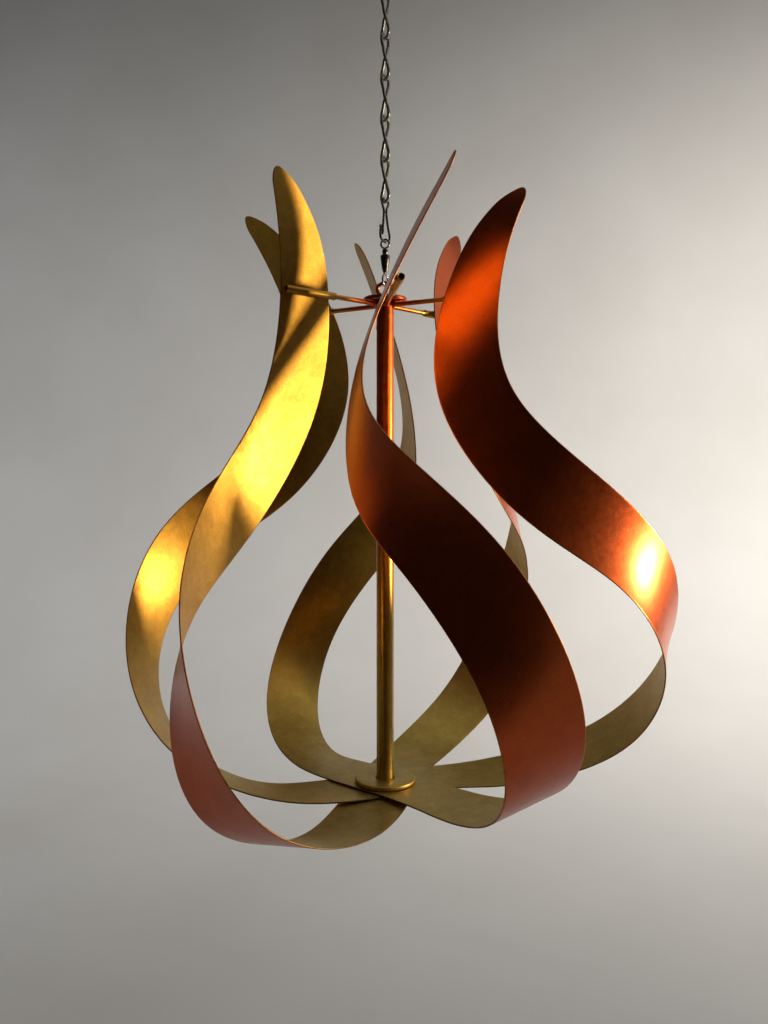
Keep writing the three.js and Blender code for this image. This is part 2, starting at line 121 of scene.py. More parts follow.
# ---- Camera: level with the ribbons' necks, a little over half a metre away ------------------
CAMERA_PLACE = Vector((-0.0021, -0.6094, -0.3880))
CAMERA_DOWN = 1.52
CAMERA_RIGHT = 0.12
camera_data = bpy.data.cameras.new("camera")
camera_data.sensor_width = 36
camera_data.lens = 29.05
camera = bpy.data.objects.new("camera", camera_data)
camera.location = CAMERA_PLACE
camera.rotation_euler = (math.radians(90 - CAMERA_DOWN), 0, math.radians(-CAMERA_RIGHT))
bpy.context.scene.collection.objects.link(camera)
bpy.context.scene.camera = camera


# Where the copper paint fades to gold, in metres: down the tube, and out along the spokes.
TUBE_FADE_SPAN = (-0.345, -0.485)
SPOKE_FADE_SPAN = (0.022, 0.048)


# ---- Material helpers ------------------------------------------------------------------------
class Shader:
    """A Principled material under construction, with short ways to add the usual nodes."""

    def __init__(self, name, metallic, roughness, **constants):
        self.material = bpy.data.materials.new(name)
        self.material.use_nodes = True
        self.nodes = self.material.node_tree.nodes
        self.links = self.material.node_tree.links
        self.out = self.nodes["Principled BSDF"]
        self.out.inputs["Metallic"].default_value = metallic
        self.out.inputs["Roughness"].default_value = roughness
        for socket, value in constants.items():
            self.out.inputs[socket.replace("_", " ")].default_value = value
        self.place = self.nodes.new("ShaderNodeTexCoord").outputs["Object"]

    def join(self, source, target):
        self.links.new(source, target)

    def noise(self, scale, detail=4.0, rough=0.55, distortion=0.0):
        node = self.nodes.new("ShaderNodeTexNoise")
        node.inputs["Scale"].default_value = scale
        node.inputs["Detail"].default_value = detail
        node.inputs["Roughness"].default_value = rough
        node.inputs["Distortion"].default_value = distortion
        self.join(self.place, node.inputs["Vector"])
        return node.outputs["Fac"]

    def cells(self, scale):
        node = self.nodes.new("ShaderNodeTexVoronoi")
        node.inputs["Scale"].default_value = scale
        self.join(self.place, node.inputs["Vector"])
        return node

    def ramp(self, value, stops):
        node = self.nodes.new("ShaderNodeValToRGB")
        elements = node.color_ramp.elements
        while len(elements) < len(stops):
            elements.new(0.5)
        for element, (position, colour) in zip(elements, stops):
            element.position = position
            element.color = (*colour, 1)
        self.join(value, node.inputs["Fac"])
        return node.outputs["Color"]

    def spread(self, value, low_in, high_in, low_out, high_out):
        node = self.nodes.new("ShaderNodeMapRange")
        for socket, number in zip(("From Min", "From Max", "To Min", "To Max"),
                                  (low_in, high_in, low_out, high_out)):
            node.inputs[socket].default_value = number
        self.join(value, node.inputs["Value"])
        return node.outputs["Result"]

    def add(self, first, second):
        node = self.nodes.new("ShaderNodeMath")
        node.operation = "ADD"
        self.join(first, node.inputs[0])
        self.join(second, node.inputs[1])
        return node.outputs["Value"]

    def mix(self, share, first, second, blend="MIX"):
        node = self.nodes.new("ShaderNodeMix")
        node.data_type = "RGBA"
        node.blend_type = blend
        for socket, value in zip((node.inputs["Factor"], node.inputs[6], node.inputs[7]),
                                 (share, first, second)):
            if isinstance(value, float):
                socket.default_value = value
            else:
                self.join(value, socket)
        return node.outputs[2]

    def height(self):
        node = self.nodes.new("ShaderNodeSeparateXYZ")
        self.join(self.place, node.inputs["Vector"])
        return node.outputs["Z"]

    def reach(self):
        """Distance from the rotor's axis."""
        flat = self.nodes.new("ShaderNodeVectorMath")
        flat.operation = "MULTIPLY"
        flat.inputs[1].default_value = (1, 1, 0)
        self.join(self.place, flat.inputs[0])
        length = self.nodes.new("ShaderNodeVectorMath")
        length.operation = "LENGTH"
        self.join(flat.outputs["Vector"], length.inputs[0])
        return length.outputs["Value"]

    def colour(self, source):
        self.join(source, self.out.inputs["Base Color"])

    def roughness(self, source):
        self.join(source, self.out.inputs["Roughness"])

    def bumps(self, *layers):
        """Bump layers, each (height source, depth in metres, strength)."""
        previous = None
        for source, depth, strength in layers:
            node = self.nodes.new("ShaderNodeBump")
            node.inputs["Distance"].default_value = depth
            node.inputs["Strength"].default_value = strength
            self.join(source, node.inputs["Height"])
            if previous is not None:
                self.join(previous, node.inputs["Normal"])
            previous = node.outputs["Normal"]
        self.join(previous, self.out.inputs["Normal"])


def paint_surface(shader, rough_low, rough_high):
    """What the paints share: cloudy sheen, slow waves, orange peel, flakes and a few dust nibs."""
    shader.roughness(shader.spread(shader.noise(240, 5, 0.65), 0.3, 0.7, rough_low, rough_high))
    nibs = shader.spread(shader.cells(95).outputs["Distance"], 0.0, 0.09, 1, 0)
    shader.bumps(
        (shader.noise(26, 2, 0.4), 0.0012, 0.13),
        (shader.noise(800, 3, 0.6), 0.00006, 0.4),
        (shader.cells(2600).outputs["Color"], 0.00002, 0.3),
        (nibs, 0.00012, 0.5))


def flecked(shader, clouds, scale, dark, light):
    specks = shader.spread(shader.noise(scale, 2, 0.5), 0.35, 0.65, dark, light)
    return shader.mix(1.0, clouds, specks, "MULTIPLY")


def copper_paint():
    """Clear orange-red lacquer over bright metal: deep red-brown in shade, orange in light."""
    shader = Shader("copper_paint", metallic=1.0, roughness=0.3, Coat_Weight=0.4, Coat_Roughness=0.25)
    clouds = shader.ramp(shader.noise(60, 6, 0.6, 0.3), [
        (0.25, (0.53, 0.082, 0.010)), (0.5, (0.58, 0.095, 0.012)), (0.75, (0.63, 0.110, 0.016))])
    shader.colour(flecked(shader, clouds, 1500, 0.88, 1.08))
    paint_surface(shader, 0.27, 0.34)
    return shader.material


def gold_clouds(shader):
    gold = shader.ramp(shader.noise(95, 7, 0.68, 0.5), [
        (0.25, (0.42, 0.225, 0.035)), (0.5, (0.53, 0.292, 0.048)), (0.75, (0.63, 0.365, 0.068))])
    olive = shader.ramp(shader.noise(80, 7, 0.68, 0.5), [
        (0.25, (0.37, 0.25, 0.055)), (0.5, (0.46, 0.32, 0.075)), (0.75, (0.56, 0.40, 0.105))])
    return shader.mix(shader.spread(shader.height(), -0.60, -0.48, 1, 0), gold, olive)


def gold_paint():
    """Gold lacquer, greener and thinner towards the base, with cloudy overspray."""
    shader = Shader("gold_paint", metallic=1.0, roughness=0.4)
    shader.colour(flecked(shader, gold_clouds(shader), 1300, 0.86, 1.1))
    paint_surface(shader, 0.40, 0.50)
    return shader.material


def edge_paint():
    """The cut edge of the sheet, where the lacquer is thin over bright metal; near the base it is brass,
    drawn dark as painted shade between the stacked strips.
    """
    shader = Shader("edge_paint", metallic=1.0, roughness=0.3)
    copper = shader.ramp(shader.noise(220, 5, 0.7), [
        (0.3, (0.30, 0.10, 0.025)), (0.6, (0.48, 0.20, 0.055)), (0.8, (0.70, 0.38, 0.13))])
    # Near the base: the brass of the base, darkened as painted shade where the strips lie close together.
    shaded_brass = shader.ramp(shader.noise(260, 5, 0.7), [
        (0.3, (0.07, 0.045, 0.018)), (0.6, (0.15, 0.10, 0.035)), (0.8, (0.34, 0.25, 0.09))])
    shader.colour(shader.mix(shader.spread(shader.height(), -0.60, -0.565, 1, 0), copper, shaded_brass))
    shader.roughness(shader.spread(shader.noise(600, 3), 0.3, 0.7, 0.34, 0.52))
    shader.bumps((shader.noise(1400, 3), 0.00008, 0.6))
    return shader.material


def fading_paint(name, measure, start, end):
    """Copper that fades to gold as measure goes from start to end."""
    shader = Shader(name, metallic=1.0, roughness=0.34, Coat_Weight=0.1, Coat_Roughness=0.3)
    copper = shader.ramp(shader.noise(110, 6, 0.62), [
        (0.3, (0.52, 0.085, 0.014)), (0.55, (0.66, 0.125, 0.02)), (0.75, (0.74, 0.17, 0.03))])
    # The fade wanders by up to 12 mm either way.
    measures = {"height": shader.height, "reach": shader.reach}
    ragged = shader.add(measures[measure](),
                        shader.spread(shader.noise(60, 4), 0.0, 1.0, -0.012, 0.012))
    blend = shader.mix(shader.spread(ragged, start, end, 0, 1), copper, gold_clouds(shader))
    shader.colour(flecked(shader, blend, 1500, 0.86, 1.08))
    paint_surface(shader, 0.28, 0.42)
    return shader.material


def weathered_zinc():
    shader = Shader("weathered_zinc", metallic=0.95, roughness=0.4)
    shader.colour(shader.ramp(shader.noise(420, 6, 0.7), [
        (0.3, (0.10, 0.095, 0.085)), (0.5, (0.24, 0.23, 0.215)), (0.72, (0.46, 0.45, 0.43))]))
    shader.roughness(shader.spread(shader.noise(700, 5), 0.3, 0.7, 0.22, 0.5))
    shader.bumps((shader.noise(1800, 3), 0.00005, 0.5))
    return shader.material


def nickel(name, dark, light, rough_low, rough_high):
    shader = Shader(name, metallic=1.0, roughness=rough_low)
    shader.colour(shader.ramp(shader.noise(500, 5, 0.6), [(0.35, dark), (0.7, light)]))
    shader.roughness(shader.spread(shader.noise(900, 5), 0.3, 0.7, rough_low, rough_high))
    shader.bumps((shader.noise(2400, 2), 0.00003, 0.4))
    return shader.material


COPPER = copper_paint()
GOLD = gold_paint()
EDGE = edge_paint()
TUBE_FADE = fading_paint("tube_fade", "height", *TUBE_FADE_SPAN)
SPOKE_FADE = fading_paint("spoke_fade", "reach", *SPOKE_FADE_SPAN)
ZINC = weathered_zinc()
DARK_NICKEL = nickel("dark_nickel", (0.06, 0.055, 0.05), (0.2, 0.19, 0.175), 0.18, 0.34)
BRIGHT_NICKEL = nickel("bright_nickel", (0.34, 0.33, 0.31), (0.62, 0.6, 0.57), 0.12, 0.28)


# ---- Mesh helpers ----------------------------------------------------------------------------
def in_plane(plane, across, through, up):
    c, s = math.cos(math.radians(plane)), math.sin(math.radians(plane))
    return Vector((c * across - s * through, s * across + c * through, up))


def clamp(x):
    return min(1.0, max(0.0, x))


def ease(x):
    return clamp(x) ** 2 * (3 - 2 * clamp(x))


class Build:
    """Collects closed shells in millimetres, then makes one object of them in metres."""

    def __init__(self):
        self.points = []
        self.faces = []
        self.slots = []

    def shell(self, points, faces, slots=None):
        start = len(self.points)
        self.points += [tuple(p) for p in points]
        self.faces += [tuple(start + i for i in face) for face in faces]
        self.slots += slots or [0] * len(faces)

    def loft(self, rings, closed=False, slots=None):
        """Rings of equal length joined in turn, the ends closed unless the path closes."""
        sides = len(rings[0])
        points = [p for ring in rings for p in ring]
        faces, kinds = [], []
        for i in range(len(rings) if closed else len(rings) - 1):
            here, there = i * sides, ((i + 1) % len(rings)) * sides
            for j in range(sides):
                k = (j + 1) % sides
                faces.append((here + j, here + k, there + k, there + j))
                kinds.append(slots[j] if slots else 0)
        if not closed:
            faces.append(tuple(reversed(range(sides))))
            faces.append(tuple(range(len(points) - sides, len(points))))
            kinds += [0, 0]
        self.shell(points, faces, kinds)

    def wire(self, path, diameter, sides=12, closed=False):
        """Round wire along a dense path; an open wire's ends are rounded off."""
        radii = [diameter / 2] * len(path)
        if not closed:
            # Four points of a quarter circle: their radius, and how far past the path they lie.
            ends = [0.25, 0.6, 0.85, 0.97]
            inset = [0.97, 0.8, 0.53, 0.24]
            lead = (path[0] - path[1]).normalized() * diameter / 2
            trail = (path[-1] - path[-2]).normalized() * diameter / 2
            head = [path[0] + lead * share for share in inset]
            tail = [path[-1] + trail * share for share in reversed(inset)]
            path = head + path + tail
            radii = [diameter / 2 * e for e in ends] + radii + [diameter / 2 * e for e in reversed(ends)]
        tangents = []
        count = len(path)
        for i in range(count):
            after = path[(i + 1) % count] if closed or i < count - 1 else path[i]
            before = path[i - 1] if closed or i > 0 else path[i]
            tangents.append((after - before).normalized())
        normal = tangents[0].orthogonal().normalized()
        normals = [normal]
        for i in range(1, count):
            normal = normal - tangents[i] * normal.dot(tangents[i])
            normal.normalize()
            normals.append(normal.copy())
        slip = 0.0
        if closed:
            last = normals[-1] - tangents[0] * normals[-1].dot(tangents[0])
            slip = last.normalized().angle(normals[0])
            if last.cross(normals[0]).dot(tangents[0]) < 0:
                slip = -slip
        rings = []
        for i in range(count):
            side = normals[i]
            other = tangents[i].cross(side)
            turn = slip * i / count
            ring = []
            for j in range(sides):
                angle = 2 * math.pi * j / sides + turn
                ring.append(path[i] + (side * math.cos(angle) + other * math.sin(angle)) * radii[i])
            rings.append(ring)
        self.loft(rings, closed)

    def turned(self, profile, sides=48, place=Matrix()):
        """A closed (radius, height) outline turned about the local Z axis. Points on the axis
        become single poles."""
        loop = len(profile)
        points, index = [], []
        for radius, height in profile:
            if radius < 1e-6:
                index.append([len(points)] * sides)
                points.append(place @ Vector((0, 0, height)))
                continue
            index.append([len(points) + j for j in range(sides)])
            for j in range(sides):
                angle = 2 * math.pi * j / sides
                points.append(place @ Vector((radius * math.cos(angle), radius * math.sin(angle), height)))
        open_outline = profile[0][0] < 1e-6 and profile[-1][0] < 1e-6
        faces = []
        for i in range(loop - 1 if open_outline else loop):
            here, there = index[i], index[(i + 1) % loop]
            for j in range(sides):
                k = (j + 1) % sides
                corners = [here[j], here[k], there[k], there[j]]
                face = [c for n, c in enumerate(corners) if c not in corners[:n]]
                if len(face) > 2:
                    faces.append(tuple(face))
        self.shell(points, faces)

    def make(self, name, body, materials, nodes=(), sharp=None):
        mesh = bpy.data.meshes.new(name)
        mesh.from_pydata([tuple(MM * c for c in p) for p in self.points], [], self.faces)
        for material in materials:
            mesh.materials.append(material)
        mesh.polygons.foreach_set("material_index", self.slots)
        mesh.shade_smooth()
        if sharp is not None:
            mesh.set_sharp_from_angle(angle=math.radians(sharp))
        mesh.update()
        piece = bpy.data.objects.new(name, mesh)
        bpy.context.scene.collection.objects.link(piece)
        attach(piece, body)
        if nodes:
            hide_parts(*nodes)
        return piece


def filleted(outline, radius, steps=4, closed=True):
    """An outline of (radius, height) points with its corners rounded."""
    result = []
    count = len(outline)
    for i, corner in enumerate(outline):
        here = Vector(corner)
        if not closed and i in (0, count - 1):
            result.append(tuple(here))
            continue
        before, after = Vector(outline[i - 1]), Vector(outline[(i + 1) % count])
        to_before, to_after = before - here, after - here
        angle = to_before.angle(to_after)
        # Just under half a side at most, so that neighbouring fillets never meet.
        longest = 0.48 * min(to_before.length, to_after.length)
        reach = min(radius / math.tan(angle / 2), longest)
        first = here + to_before.normalized() * reach
        last = here + to_after.normalized() * reach
        for step in range(steps + 1):
            t = step / steps
            result.append(tuple(first * (1 - t) ** 2 + here * 2 * t * (1 - t) + last * t ** 2))
    return result


def smooth_path(points, per_span=8):
    """Centripetal Catmull-Rom curve through the points, as the part's own wires follow."""
    padded = [points[0] * 2 - points[1], *points, points[-1] * 2 - points[-2]]
    path = []
    for i in range(1, len(padded) - 2):
        p0, p1, p2, p3 = padded[i - 1:i + 3]
        t0 = 0.0
        t1 = t0 + (p1 - p0).length ** 0.5
        t2 = t1 + (p2 - p1).length ** 0.5
        t3 = t2 + (p3 - p2).length ** 0.5
        for step in range(per_span):
            t = t1 + (t2 - t1) * step / per_span
            a1 = p0 * ((t1 - t) / (t1 - t0)) + p1 * ((t - t0) / (t1 - t0))
            a2 = p1 * ((t2 - t) / (t2 - t1)) + p2 * ((t - t1) / (t2 - t1))
            a3 = p2 * ((t3 - t) / (t3 - t2)) + p3 * ((t - t2) / (t3 - t2))
            b1 = a1 * ((t2 - t) / (t2 - t0)) + a2 * ((t - t0) / (t2 - t0))
            b2 = a2 * ((t3 - t) / (t3 - t1)) + a3 * ((t - t1) / (t3 - t1))
            path.append(b1 * ((t2 - t) / (t2 - t1)) + b2 * ((t - t1) / (t2 - t1)))
    path.append(points[-1].copy())
    return path


def ring_path(plane, half_width, half_height, centre):
    steps = 64
    angles = [2 * math.pi * i / steps for i in range(steps)]
    return [in_plane(plane, half_width * math.sin(a), 0, centre + half_height * math.cos(a))
            for a in angles]


# ---- Hook, chain, clip and swivel ------------------------------------------------------------
def make_hook():
    upper = high("s_hook").z - HOOK["wire"] / 2 - HOOK["upper_radius"]
    lower = upper - HOOK["centres"]

    def arc(centre, radius, degrees):
        a = math.radians(degrees)
        return in_plane(HOOK["plane"], radius * math.cos(a), 0, centre + radius * math.sin(a))

    points = [arc(lower, HOOK["lower_radius"], a) for a in (150, 180, 225, 270, 315, 350)]
    points.append(Vector((0, 0, (upper + lower) / 2)))
    points += [arc(upper, HOOK["upper_radius"], a) for a in (170, 135, 90, 45, 0, -35)]
    build = Build()
    build.wire(smooth_path(points, 10), HOOK["wire"], sides=16)
    build.make("hook_wire", "hook", [ZINC], ["s_hook"])


def make_link(index):
    node = f"chain_link_{index}"
    centre = (low(node).z + high(node).z) / 2
    offset = (LINK["wire"] + GAP) / 2
    path = []
    steps = 112
    for i in range(steps):
        s = 2 * math.pi * i / steps
        plane = LINK["plane"] * (2 * ease(math.cos(s) / LINK["crossing"] + 0.5) - 1)
        path.append(in_plane(plane, LINK["half_width"] * math.sin(2 * s), offset * math.sin(s),
                             centre + LINK["half_height"] * math.cos(s)))
    build = Build()
    build.wire(path, LINK["wire"], sides=14, closed=True)
    build.make(f"link_wire_{index}", f"link_{index}", [ZINC], [node])


def make_snap():
    top = high("snap_clip").z - SNAP["wire"] / 2
    points = [in_plane(SNAP["plane"], across, through, top - down) for across, down, through in SNAP_SHAPE]
    build = Build()
    build.wire(smooth_path(points, 8), SNAP["wire"], sides=14)
    build.make("snap_wire", "clip", [DARK_NICKEL], ["snap_clip"])


def make_swivel():
    barrel_top, barrel_foot = high("swivel_barrel").z, low("swivel_barrel").z
    shoulder = barrel_top - BARREL["collar_height"]
    ring_centre = high("swivel_upper_eye").z - RING["wire"] / 2 - RING["radius"]
    loop_centre = low("swivel_lower_eye").z + LOOP["wire"] / 2 + LOOP["half_height"]

    upper = Build()
    ring = ring_path(RING["plane"], RING["radius"], RING["radius"], ring_centre)
    upper.wire(ring, RING["wire"], sides=16, closed=True)
    stem_top = ring_centre - RING["radius"]
    head_top = shoulder - STEM["head_depth"]
    head_foot = head_top - STEM["head_height"]
    stem = [(0, stem_top), (STEM["radius"] - 0.2, stem_top), (STEM["radius"], stem_top - 0.8),
            (STEM["radius"], head_top), (STEM["head_radius"], head_top),
            (STEM["head_radius"], head_foot), (0, head_foot)]
    upper.turned(filleted(stem, 0.2, 3, closed=False), 32)
    upper.make("swivel_ring", "swivel_head", [BRIGHT_NICKEL],
               ["swivel_upper_eye"], sharp=40)

    barrel = Build()
    mouth, foot_bore = STEM["radius"] + GAP, LOOP["stem"] + GAP
    chamber, foot, bevel = BARREL["chamber_radius"], BARREL["foot_radius"], BARREL["bevel"]
    chamber_top, waist = shoulder - BARREL["top_wall"], shoulder - BARREL["chamber_depth"]
    chamber_floor = barrel_foot + BARREL["foot_wall"]
    collar, rim = BARREL["collar_radius"], BARREL["shoulder_radius"]
    # One outline: down the inside, up the taper, and up the collar.
    inside = [(mouth, barrel_top), (mouth, chamber_top), (chamber, chamber_top), (chamber, waist),
              (foot, barrel_foot + BARREL["chamber_foot"]), (foot, chamber_floor),
              (foot_bore, chamber_floor), (foot_bore, barrel_foot)]
    taper = [(foot - 0.25, barrel_foot), (foot, barrel_foot + bevel), (2.35, chamber_floor + 2 * bevel),
             (rim - 0.1, waist), (rim, shoulder - 1.5 * bevel), (rim - 0.3, shoulder)]
    neck = [(collar, shoulder), (collar - 0.25, shoulder + 0.9), (collar, shoulder + 1.8),
            (collar, barrel_top - bevel), (collar - bevel, barrel_top)]
    barrel.turned(filleted(inside + taper + neck, 0.35, 4), 48)
    barrel.make("swivel_body", "barrel", [DARK_NICKEL], ["swivel_barrel"], sharp=40)

    lower = Build()
    loop = ring_path(LOOP["plane"], LOOP["half_width"], LOOP["half_height"], loop_centre)
    lower.wire(loop, LOOP["wire"], sides=16, closed=True)
    seat = barrel_foot + LOOP["head_lift"]
    top = seat + LOOP["head_height"]
    loop_top = loop_centre + LOOP["half_height"]
    stem = [(0, top), (LOOP["head_radius"], top), (LOOP["head_radius"], seat), (LOOP["stem"], seat),
            (LOOP["stem"], loop_top), (0, loop_top)]
    lower.turned(filleted(stem, 0.15, 3, closed=False), 32)
    lower.make("swivel_loop", "swivel_tail", [BRIGHT_NICKEL],
               ["swivel_lower_eye"], sharp=40)


# ---- Rotor: eye, discs, tube, base -----------------------------------------------------------
def make_rotor_eye():
    centre = high("rotor_eye").z - EYE["wire"] / 2 - EYE["half_height"]
    foot = low("rotor_eye").z
    collar = high("hub_disc").z
    build = Build()
    ring = ring_path(0, EYE["half_width"], EYE["half_height"], centre)
    build.wire(ring, EYE["wire"], sides=20, closed=True)
    half = EYE["shank"] / 2
    ring_foot = centre - EYE["half_height"]
    shank = [(0, ring_foot + 0.9), (1.1, ring_foot + 0.6), (half, collar + 0.3), (half, foot), (0, foot)]
    build.turned(filleted(shank, 0.3, 3, closed=False), 32)
    build.make("eye_wire", "rotor", [COPPER], ["rotor_eye"], sharp=50)


def make_disc(name, node, hole, material, edge):
    top, bottom, radius = high(node).z, low(node).z, high(node).x
    build = Build()
    outline = [(hole / 2, top), (hole / 2, bottom), (radius, bottom), (radius, top)]
    build.turned(filleted(outline, edge, 6), 128)
    build.make(name, "rotor", [material], [node], sharp=50)


def make_tube():
    top, bottom = high("centre_tube").z, low("centre_tube").z
    outer = TUBE["diameter"] / 2
    build = Build()
    rows = 40
    heights = [bottom + (top - bottom) * i / rows for i in range(rows + 1)]
    outline = [(outer - TUBE["wall"], top), (outer - TUBE["wall"], bottom)]
    outline += [(outer, h) for h in heights]
    build.turned(outline, 64)
    build.make("tube_body", "rotor", [TUBE_FADE], ["centre_tube"], sharp=50)


def make_base_hardware():
    washer_top, washer_foot = high("base_washer").z, low("base_washer").z
    bore, rim = WASHER["hole"] / 2, WASHER["diameter"] / 2
    washer = Build()
    plate = [(bore, washer_top), (bore, washer_foot), (rim, washer_foot), (rim, washer_top)]
    washer.turned(filleted(plate, 0.4, 4), 64)
    washer.make("washer_plate", "rotor", [ZINC], ["base_washer"], sharp=50)

    foot, top = low("base_bolt").z, high("base_bolt").z
    head, head_top = BOLT["head"] / 2, foot + BOLT["head_height"]
    bolt = Build()
    bolt.turned([(0, foot), (head - 0.9, foot), (head, foot + 0.5), (head, head_top - 0.15),
                 (head - 0.2, head_top), (0, head_top)], 6)
    crest, pitch = BOLT["diameter"] / 2, 0.8
    root = crest - 0.4
    thread = [(0, head_top - 0.5), (crest - 0.2, head_top - 0.5)]
    turns = int((top - head_top - 1) / pitch)
    for i in range(turns):
        thread += [(root, head_top + pitch * i), (crest, head_top + pitch * (i + 0.5))]
    thread += [(root, top - 0.6), (root - 0.3, top), (0, top)]
    bolt.turned(thread, 32)
    bolt.make("bolt_hex", "rotor", [ZINC], ["base_bolt"], sharp=30)


# ---- Ribbons ---------------------------------------------------------------------------------
def spline_point(guide, opposite, share):
    """A point of the B-spline over a guide. Behind the axis it runs on as the other edge of the
    ribbon across from it."""
    spans = len(guide) - 1
    span = min(int(share * spans), spans - 1)
    f = share * spans - span
    behind = (-opposite[1][0], -opposite[1][1], opposite[1][2])
    beyond = tuple(2 * a - b for a, b in zip(guide[-1], guide[-2]))
    row = [behind, *guide, beyond][span:span + 4]
    weights = ((1 - f) ** 3, 3 * f ** 3 - 6 * f ** 2 + 4, -3 * f ** 3 + 3 * f ** 2 + 3 * f + 1, f ** 3)
    return Vector([sum(point[axis] * weight for point, weight in zip(row, weights)) / 6
                   for axis in range(3)])


STRIP_CENTRE = low("base_disc").z - GAP - SHEET / 2 - LAYER_STEP


def edge_point(outer, blade_index, layer, share):
    """A point on one edge of a ribbon: share 0 is beside the axis, and 1 is at the tip."""
    blade = BLADES[blade_index]
    edges = (spline_point(INNER_EDGE, OUTER_EDGE, share), spline_point(OUTER_EDGE, INNER_EDGE, share))
    edge, middle = edges[1 if outer else 0], (edges[0] + edges[1]) / 2

    def spanned(span):
        return clamp((share - span[0]) / span[1])

    bend = ease(spanned(BEND_SPAN))
    c, s = math.cos(math.radians(blade["twist"]) * bend), math.sin(math.radians(blade["twist"]) * bend)
    half = edge - middle
    outward = middle.x + c * half.x - s * half.y + blade["lean"][0] * bend
    sideways = middle.y + s * half.x + c * half.y + blade["lean"][1] * bend
    belly = math.sin(math.pi * spanned(BELLY_SPAN)) ** 2
    turn = blade["hub_turn"] + (blade["neck_turn"] - blade["hub_turn"]) * ease(spanned(TURN_SPAN))
    growth = 1 + blade["swell"] * belly
    height = edge.z * ease((share - FLAT_END) / FLAT_BLEND) + blade["lift"] * belly
    return in_plane(FIRST_BLADE + 60 * blade_index + turn, outward * growth, sideways * growth,
                    STRIP_CENTRE + layer * LAYER_STEP + height)


def blade_stations():
    """(share of the way to the tip, share of the full width) of every ring of a ribbon."""
    along, round_tip = 230, 14
    stations = [(TIP_START * i / along, 1.0) for i in range(along)]
    for i in range(round_tip + 1):
        angle = math.radians(87) * i / round_tip
        stations.append((TIP_START + (1 - TIP_START) * math.sin(angle), math.cos(angle)))
    return stations


FACE, BACK, RIM = 0, 1, 2      # copper, gold and cut edge
RIM_RADIUS = 0.45
ACROSS = 20
HALF_SHEET = SHEET / 2 - 0.08      # the smooth sheet stays inside the CAD's faceted one


def section(blade_index, layer, share, width):
    """One ring round the sheet, in order: gold face, outer rim, copper face, inner rim."""
    nudge = 0.001
    inner, outer = (edge_point(side, blade_index, layer, share) for side in (False, True))
    across = outer - inner
    normals = []
    for side in (False, True):
        ahead = edge_point(side, blade_index, layer, clamp(share + nudge))
        behind = edge_point(side, blade_index, layer, clamp(share - nudge))
        normals.append(across.cross(ahead - behind).normalized())
    middle = (inner + outer) / 2
    inner, outer = middle.lerp(inner, width), middle.lerp(outer, width)
    span = max((outer - inner).length, 0.1)
    inset = min(RIM_RADIUS / span, 0.45)
    near_rim = inset + (1 - 2 * inset) * 0.01

    def at(s, offset):
        normal = normals[0].lerp(normals[1], s).normalized()
        return inner.lerp(outer, s) + normal * offset

    stops = [near_rim + (1 - 2 * near_rim) * i / ACROSS for i in range(ACROSS + 1)]
    face_row = [inset, *stops, 1 - inset]
    ring = [at(s, -HALF_SHEET) for s in face_row]
    quarter = [math.radians(a) for a in (-54, -18, 18, 54)]
    ring += [at(1 - inset + inset * math.cos(a), HALF_SHEET * math.sin(a)) for a in quarter]
    ring += [at(s, HALF_SHEET) for s in reversed(face_row)]
    ring += [at(inset - inset * math.cos(a), -HALF_SHEET * math.sin(a)) for a in quarter]
    return ring


def make_strip(name, layer, blades):
    """Both ribbons of a strip, from tip to tip through the crossing at the base."""
    near, far = blades
    flat_faces = ACROSS + 2
    kinds = [BACK] * flat_faces + [RIM] * 5 + [FACE] * flat_faces + [RIM] * 5
    stations = blade_stations()
    rings = []
    for share, width in reversed(stations[1:]):
        ring = section(far, layer, share, width)
        half = len(ring) // 2
        face_count = ACROSS + 3
        gold, outer_rim = ring[:face_count], ring[face_count:half]
        copper, inner_rim = ring[half:half + face_count], ring[half + face_count:]
        rings.append(list(reversed(gold)) + list(reversed(inner_rim)) + list(reversed(copper))
                     + list(reversed(outer_rim)))
    rings += [section(near, layer, share, width) for share, width in stations]
    build = Build()
    build.loft(rings, slots=kinds)
    build.make(name.replace("strip", "ribbons"), "rotor", [COPPER, GOLD, EDGE], [name])


# ---- Spokes, sleeves and welds ---------------------------------------------------------------
def radial_span(node, diameter):
    """(direction, start, end) of a round bar that lies radially, from its box."""
    lo, hi = low(node), high(node)
    middle, size = (lo + hi) / 2, hi - lo
    direction = math.atan2(middle.y, middle.x)
    c, s = abs(math.cos(direction)), abs(math.sin(direction))
    length = (size.x - diameter * s) / c if c > s else (size.y - diameter * c) / s
    reach = math.hypot(middle.x, middle.y)
    return direction, reach - length / 2, reach + length / 2


def bead(build, start, end, radius, seed):
    """A hand-laid weld bead: a lumpy little sausage from start to end."""
    rng = random.Random(seed)
    steps = max(8, int((end - start).length * 3))
    path = [start.lerp(end, i / steps) + Vector([rng.uniform(-0.12, 0.12) for _ in range(3)])
            for i in range(steps + 1)]
    build.wire(path, 2 * radius, sides=10)


